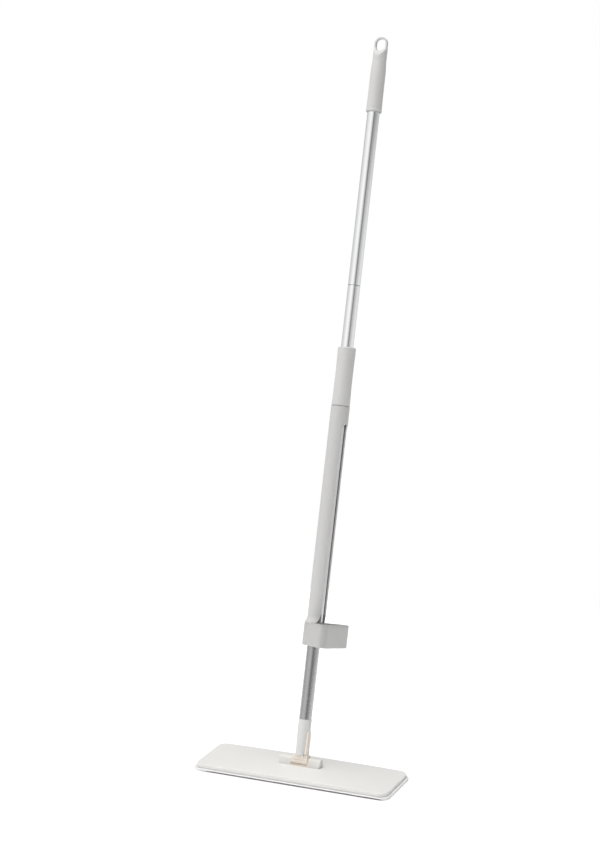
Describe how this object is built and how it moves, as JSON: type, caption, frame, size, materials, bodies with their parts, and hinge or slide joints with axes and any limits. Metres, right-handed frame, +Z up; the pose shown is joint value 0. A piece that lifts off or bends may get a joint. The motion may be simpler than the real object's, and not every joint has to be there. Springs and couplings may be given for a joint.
{
  "type": "flat mop",
  "caption": "Flat floor mop: a two-part steel pole with a hanging loop, a rectangular pad plate on a two-way hinge, and a hand-grip slider that carries a squeeze ring.",
  "frame": {"origin": "on the floor, under the middle of the plate", "axes": "+Z up, +X along the plate towards the side the squeeze ring's flat front faces, +Y towards the side the pole leans to"},
  "size_m": [0.368, 0.4286, 1.264],
  "materials": {
    "grip_grey": "fine matt moulded texture",
    "plate_white": "satin moulded",
    "hinge_cream": "satin moulded",
    "socket_white": "satin moulded",
    "dark_plastic": "matt moulded",
    "guide_grey": "matt moulded",
    "tube_steel": "fine lengthwise satin",
    "lower_tube_steel": "darker lengthwise satin",
    "fastener_steel": "plated",
    "pin_steel": "ground",
    "magnet_metal": "nickel plated",
    "soft_rubber": "matt",
    "pad_pile_fibre": "looped microfibre pile, dark grey",
    "pad_backing_cloth": "woven loop backing",
    "pad_binding_tape": "woven edge tape",
    "hook_tape": "hook tape"
  },
  "bodies": {
    "pole": {"hang_eye": "grip_grey", "top_grip": "grip_grey", "upper_tube": "tube_steel", "tube_coupling": "dark_plastic", "lower_tube": "lower_tube_steel", "socket": "socket_white", "bracket": "hinge_cream", "bracket_screws": "fastener_steel", "tube_screw": "fastener_steel", "hold_magnet": "magnet_metal"},
    "yoke": {"hinge_yoke": "hinge_cream", "flip_pin": "pin_steel", "keeper_disc": "magnet_metal"},
    "head": {"plate_cover": "plate_white", "plate_frame": "plate_white", "hinge_cradle": "hinge_cream", "boss_left": "plate_white", "boss_right": "plate_white", "pitch_pin": "pin_steel", "head_screws": "fastener_steel", "hook_strips": "hook_tape", "pad_backing": "pad_backing_cloth", "pad_pile": "pad_pile_fibre", "pad_binding": "pad_binding_tape"},
    "slider": {"slider_grip": "grip_grey", "seam_ring": "dark_plastic", "slider_shell": "grip_grey", "upper_bush": "dark_plastic", "middle_bush": "dark_plastic", "friction_ring": "soft_rubber", "lower_guides": "guide_grey", "squeeze_ring": "grip_grey", "squeeze_lip": "soft_rubber", "ring_screws": "fastener_steel"}
  },
  "joints": [
    {"name": "sleeve_slide", "type": "slide", "parent": "pole", "child": "slider", "axis": [0, 0.284, 0.9588], "range_m": [-0.01, 0.42]},
    {"name": "plate_flip", "type": "hinge", "parent": "pole", "child": "yoke", "pos_m": [0.0114, 0.00176, 0.03144], "axis": [0, -0.9588, 0.284], "range_deg": [0, 90]},
    {"name": "plate_pitch", "type": "hinge", "parent": "yoke", "child": "head", "pos_m": [0, 0, 0.0255], "axis": [1, 0, 0], "range_deg": [-81.5, 48.5]}
  ]
}
